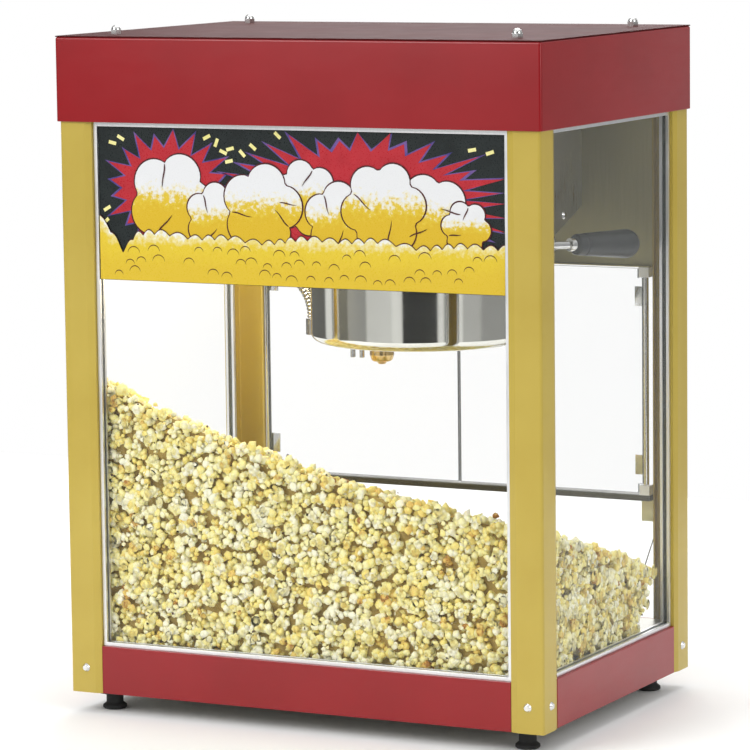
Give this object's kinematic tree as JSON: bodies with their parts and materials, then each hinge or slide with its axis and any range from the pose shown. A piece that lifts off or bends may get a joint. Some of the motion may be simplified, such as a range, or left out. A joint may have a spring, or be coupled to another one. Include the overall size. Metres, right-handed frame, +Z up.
{
  "type": "countertop popcorn maker",
  "caption": "Countertop popcorn machine: red base and canopy on gold corner posts, glazed cabinet, tilting kettle with driven stirrer, rear doors and kernel drawer.",
  "frame": {"origin": "centre of the object's box at the surface it stands on", "axes": "+X to the right seen from the front, -Y towards the customer at the front, +Z up"},
  "size_m": [0.52, 0.361, 0.6793],
  "materials": {
    "red_paint": "gloss",
    "gold_paint": "satin",
    "stainless_sheet": "satin",
    "polished_steel": "polished",
    "channel_metal": "satin",
    "clear_glass": "gloss",
    "clear_acrylic": "gloss",
    "sign_print": "gloss",
    "black_plastic": "satin",
    "white_nylon": "satin",
    "red_plastic": "gloss",
    "black_rubber": "matte",
    "brass_cap": "polished",
    "element_steel": "satin",
    "motor_case": "satin",
    "conduit_metal": "satin",
    "lamp_glass": "satin",
    "popped_corn": "matte"
  },
  "bodies": {
    "cabinet": {"base_shell": "red_paint", "base_floor": "stainless_sheet", "deck": "stainless_sheet", "feet": "black_rubber", "post_front_left": "gold_paint", "post_front_right": "gold_paint", "post_rear_left": "gold_paint", "post_rear_right": "gold_paint", "cabinet_screws": "polished_steel", "glazing_front": "channel_metal", "glazing_sides": "channel_metal", "glass_front": "clear_glass", "glass_left": "clear_glass", "glass_right": "clear_glass", "sign_film": "sign_print", "canopy_shell": "red_paint", "canopy_top": "red_paint", "canopy_nuts": "polished_steel", "ceiling_pan": "stainless_sheet", "control_panel": "stainless_sheet", "switch_bezels": "black_plastic", "power_inlet": "black_plastic", "rear_rail": "stainless_sheet", "ramp_panel": "clear_acrylic", "ramp_brackets": "polished_steel", "hinge_blocks": "white_nylon", "gear_motor": "motor_case", "lamp_socket": "stainless_sheet", "lamp_bulb": "lamp_glass", "hanger_left": "stainless_sheet", "hanger_right": "stainless_sheet", "lead_fitting": "conduit_metal", "kettle_lead": "conduit_metal", "popcorn": "popped_corn"},
    "kettle": {"kettle_jacket": "polished_steel", "kettle_pan": "polished_steel", "heating_element": "element_steel", "kettle_bottom_cap": "brass_cap", "kettle_bottom_studs": "polished_steel", "kettle_trunnions": "polished_steel", "kettle_bridge": "polished_steel", "lead_elbow": "conduit_metal", "handle_rod": "polished_steel", "handle_collar": "polished_steel", "handle_grip": "black_plastic"},
    "stirrer": {"stirrer_shaft": "polished_steel", "stirrer_arms": "polished_steel"},
    "drive": {"drive_shaft": "polished_steel"},
    "front_lid": {"lid_front": "stainless_sheet"},
    "rear_lid": {"lid_rear": "stainless_sheet"},
    "left_door": {"door_left": "clear_acrylic", "door_left_hinge": "polished_steel", "door_left_knob": "black_plastic"},
    "right_door": {"door_right": "clear_acrylic", "door_right_hinge": "polished_steel", "door_right_knob": "black_plastic"},
    "heat_rocker": {"heat_switch": "red_plastic"},
    "motor_rocker": {"motor_switch": "red_plastic"},
    "light_rocker": {"light_switch": "red_plastic"},
    "kernel_drawer": {"drawer": "red_paint"}
  },
  "joints": [
    {"name": "kettle_tilt", "type": "hinge", "parent": "cabinet", "child": "kettle", "pos_m": [0.044, 0.01, 0.462], "axis": [1, 0, 0], "range_deg": [0, 90]},
    {"name": "drive_spin", "type": "hinge", "parent": "cabinet", "child": "drive", "pos_m": [0.044, 0.01, 0.56], "axis": [0, 0, 1], "continuous": true},
    {"name": "stirrer_spin", "type": "hinge", "parent": "kettle", "child": "stirrer", "pos_m": [0.044, 0.01, 0.45], "axis": [0, 0, 1], "continuous": true},
    {"name": "front_lid_lift", "type": "hinge", "parent": "kettle", "child": "front_lid", "pos_m": [0.044, -0.006, 0.4876], "axis": [-1, 0, 0], "range_deg": [0, 75]},
    {"name": "rear_lid_lift", "type": "hinge", "parent": "kettle", "child": "rear_lid", "pos_m": [0.044, 0.026, 0.4876], "axis": [1, 0, 0], "range_deg": [0, 75]},
    {"name": "left_door_swing", "type": "hinge", "parent": "cabinet", "child": "left_door", "pos_m": [-0.217, 0.165, 0.31], "axis": [0, 0, 1], "range_deg": [0, 95]},
    {"name": "right_door_swing", "type": "hinge", "parent": "cabinet", "child": "right_door", "pos_m": [0.217, 0.165, 0.31], "axis": [0, 0, -1], "range_deg": [0, 95]},
    {"name": "heat_rocker_press", "type": "hinge", "parent": "cabinet", "child": "heat_rocker", "pos_m": [-0.156, 0.171, 0.5075], "axis": [-1, 0, 0], "range_deg": [0, 14]},
    {"name": "motor_rocker_press", "type": "hinge", "parent": "cabinet", "child": "motor_rocker", "pos_m": [-0.11, 0.171, 0.5075], "axis": [-1, 0, 0], "range_deg": [0, 14]},
    {"name": "light_rocker_press", "type": "hinge", "parent": "cabinet", "child": "light_rocker", "pos_m": [-0.064, 0.171, 0.5075], "axis": [-1, 0, 0], "range_deg": [0, 14]},
    {"name": "kernel_drawer_slide", "type": "slide", "parent": "cabinet", "child": "kernel_drawer", "axis": [0, 1, 0], "range_m": [0, 0.17]}
  ],
  "couplings": [
    {"joint": "stirrer_spin", "follows": "drive_spin", "ratio": 1}
  ]
}
